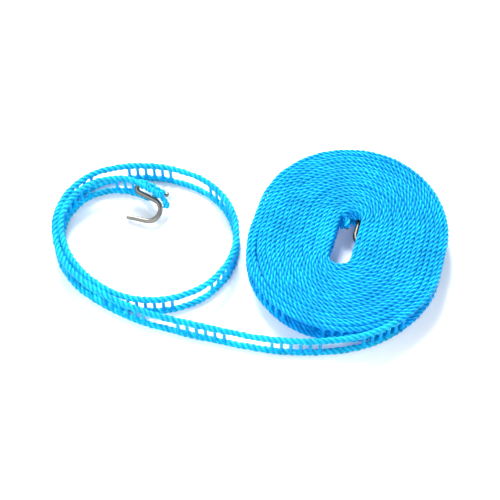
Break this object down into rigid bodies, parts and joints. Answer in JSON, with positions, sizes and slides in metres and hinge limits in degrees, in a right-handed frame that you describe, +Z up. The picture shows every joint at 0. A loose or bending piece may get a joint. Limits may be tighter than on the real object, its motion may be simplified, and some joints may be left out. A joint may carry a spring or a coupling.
{
  "type": "clothesline strap",
  "caption": "Flat knitted nylon clothesline strap with hanger slots, rolled on edge with one end paid out, and a bent steel wire hook at each end.",
  "frame": {"origin": "middle of the whole outline, on the ground the strap stands on", "axes": "+X towards the coil from the paid-out loop, +Y away from the lead, +Z up across the strap's width"},
  "size_m": [0.2232, 0.1297, 0.015],
  "materials": {
    "strap_nylon": "knitted nylon cord, bright cyan blue, slight sheen",
    "rung_nylon": "thin twisted nylon thread, same blue",
    "hook_steel": "bright drawn steel wire"
  },
  "bodies": {
    "coil": {"coil_upper_cord": "strap_nylon", "coil_lower_cord": "strap_nylon", "coil_rungs_inner": "rung_nylon", "coil_rungs_middle": "rung_nylon", "coil_rungs_outer": "rung_nylon", "inner_end_binding": "strap_nylon"},
    "panel_01": {"panel_01_upper_cord": "strap_nylon", "panel_01_lower_cord": "strap_nylon", "panel_01_rungs": "rung_nylon"},
    "panel_02": {"panel_02_upper_cord": "strap_nylon", "panel_02_lower_cord": "strap_nylon", "panel_02_rungs": "rung_nylon"},
    "panel_03": {"panel_03_upper_cord": "strap_nylon", "panel_03_lower_cord": "strap_nylon", "panel_03_rungs": "rung_nylon"},
    "panel_04": {"panel_04_upper_cord": "strap_nylon", "panel_04_lower_cord": "strap_nylon", "panel_04_rungs": "rung_nylon"},
    "panel_05": {"panel_05_upper_cord": "strap_nylon", "panel_05_lower_cord": "strap_nylon", "panel_05_rungs": "rung_nylon"},
    "panel_06": {"panel_06_upper_cord": "strap_nylon", "panel_06_lower_cord": "strap_nylon", "panel_06_rungs": "rung_nylon"},
    "panel_07": {"panel_07_upper_cord": "strap_nylon", "panel_07_lower_cord": "strap_nylon", "panel_07_rungs": "rung_nylon"},
    "panel_08": {"panel_08_upper_cord": "strap_nylon", "panel_08_lower_cord": "strap_nylon", "panel_08_rungs": "rung_nylon"},
    "panel_09": {"panel_09_upper_cord": "strap_nylon", "panel_09_lower_cord": "strap_nylon", "panel_09_rungs": "rung_nylon"},
    "panel_10": {"panel_10_upper_cord": "strap_nylon", "panel_10_lower_cord": "strap_nylon", "panel_10_rungs": "rung_nylon"},
    "panel_11": {"panel_11_upper_cord": "strap_nylon", "panel_11_lower_cord": "strap_nylon", "panel_11_rungs": "rung_nylon"},
    "panel_12": {"panel_12_upper_cord": "strap_nylon", "panel_12_lower_cord": "strap_nylon", "panel_12_rungs": "rung_nylon"},
    "outer_end": {"outer_end_binding": "strap_nylon", "outer_cord_tail": "strap_nylon", "outer_hook": "hook_steel"},
    "inner_end": {"inner_hook": "hook_steel"}
  },
  "joints": [
    {"name": "tail_unroll", "type": "hinge", "parent": "coil", "child": "panel_01", "pos_m": [0.04962, -0.06208, 0.0075], "axis": [0, 0, 1], "range_deg": [0, 40]},
    {"name": "tail_bend_02", "type": "hinge", "parent": "panel_01", "child": "panel_02", "pos_m": [0.0009, -0.06038, 0.0075], "axis": [0, 0, 1], "range_deg": [0, 13.5]},
    {"name": "tail_bend_03", "type": "hinge", "parent": "panel_02", "child": "panel_03", "pos_m": [-0.04664, -0.04853, 0.0075], "axis": [0, 0, 1], "range_deg": [0, 14.5]},
    {"name": "tail_bend_04", "type": "hinge", "parent": "panel_03", "child": "panel_04", "pos_m": [-0.09024, -0.02678, 0.0075], "axis": [0, 0, 1], "range_deg": [0, 42.5]},
    {"name": "tail_bend_05", "type": "hinge", "parent": "panel_04", "child": "panel_05", "pos_m": [-0.11014, 0.01588, 0.0075], "axis": [0, 0, 1], "range_deg": [0, 70.5]},
    {"name": "tail_bend_06", "type": "hinge", "parent": "panel_05", "child": "panel_06", "pos_m": [-0.08103, 0.05118, 0.0075], "axis": [0, 0, 1], "range_deg": [0, 62.5]},
    {"name": "tail_bend_07", "type": "hinge", "parent": "panel_06", "child": "panel_07", "pos_m": [-0.0332, 0.04657, 0.0075], "axis": [0, 0, 1], "range_deg": [0, 56.5]},
    {"name": "tail_bend_08", "type": "hinge", "parent": "panel_07", "child": "panel_08", "pos_m": [-0.00749, 0.00774, 0.0075], "axis": [0, 0, 1], "range_deg": [0, 60.5]},
    {"name": "tail_bend_09", "type": "hinge", "parent": "panel_08", "child": "panel_09", "pos_m": [-0.03105, -0.03225, 0.0075], "axis": [0, 0, 1], "range_deg": [0, 28.5]},
    {"name": "tail_bend_10", "type": "hinge", "parent": "panel_09", "child": "panel_10", "pos_m": [-0.07804, -0.03102, 0.0075], "axis": [0, 0, 1], "range_deg": [0, 50.5]},
    {"name": "tail_bend_11", "type": "hinge", "parent": "panel_10", "child": "panel_11", "pos_m": [-0.10637, 0.00728, 0.0075], "axis": [0, 0, 1], "range_deg": [0, 68.5]},
    {"name": "tail_bend_12", "type": "hinge", "parent": "panel_11", "child": "panel_12", "pos_m": [-0.0822, 0.0438, 0.0075], "axis": [0, 0, 1], "range_deg": [0, 60.5]},
    {"name": "outer_hook_swing", "type": "hinge", "parent": "panel_12", "child": "outer_end", "pos_m": [-0.06261, 0.04034, 0.0075], "axis": [0, 0, 1], "range_deg": [-25, 25]},
    {"name": "inner_hook_swing", "type": "hinge", "parent": "coil", "child": "inner_end", "pos_m": [0.06011, 0.02066, 0.0075], "axis": [0, 0, 1], "range_deg": [-4, 4]}
  ],
  "couplings": [
    {"joint": "tail_bend_02", "follows": "tail_unroll", "ratio": 0.325},
    {"joint": "tail_bend_03", "follows": "tail_unroll", "ratio": 0.35},
    {"joint": "tail_bend_04", "follows": "tail_unroll", "ratio": 1.05},
    {"joint": "tail_bend_05", "follows": "tail_unroll", "ratio": 1.75},
    {"joint": "tail_bend_06", "follows": "tail_unroll", "ratio": 1.55},
    {"joint": "tail_bend_07", "follows": "tail_unroll", "ratio": 1.4},
    {"joint": "tail_bend_08", "follows": "tail_unroll", "ratio": 1.5},
    {"joint": "tail_bend_09", "follows": "tail_unroll", "ratio": 0.7},
    {"joint": "tail_bend_10", "follows": "tail_unroll", "ratio": 1.25},
    {"joint": "tail_bend_11", "follows": "tail_unroll", "ratio": 1.7},
    {"joint": "tail_bend_12", "follows": "tail_unroll", "ratio": 1.5}
  ]
}
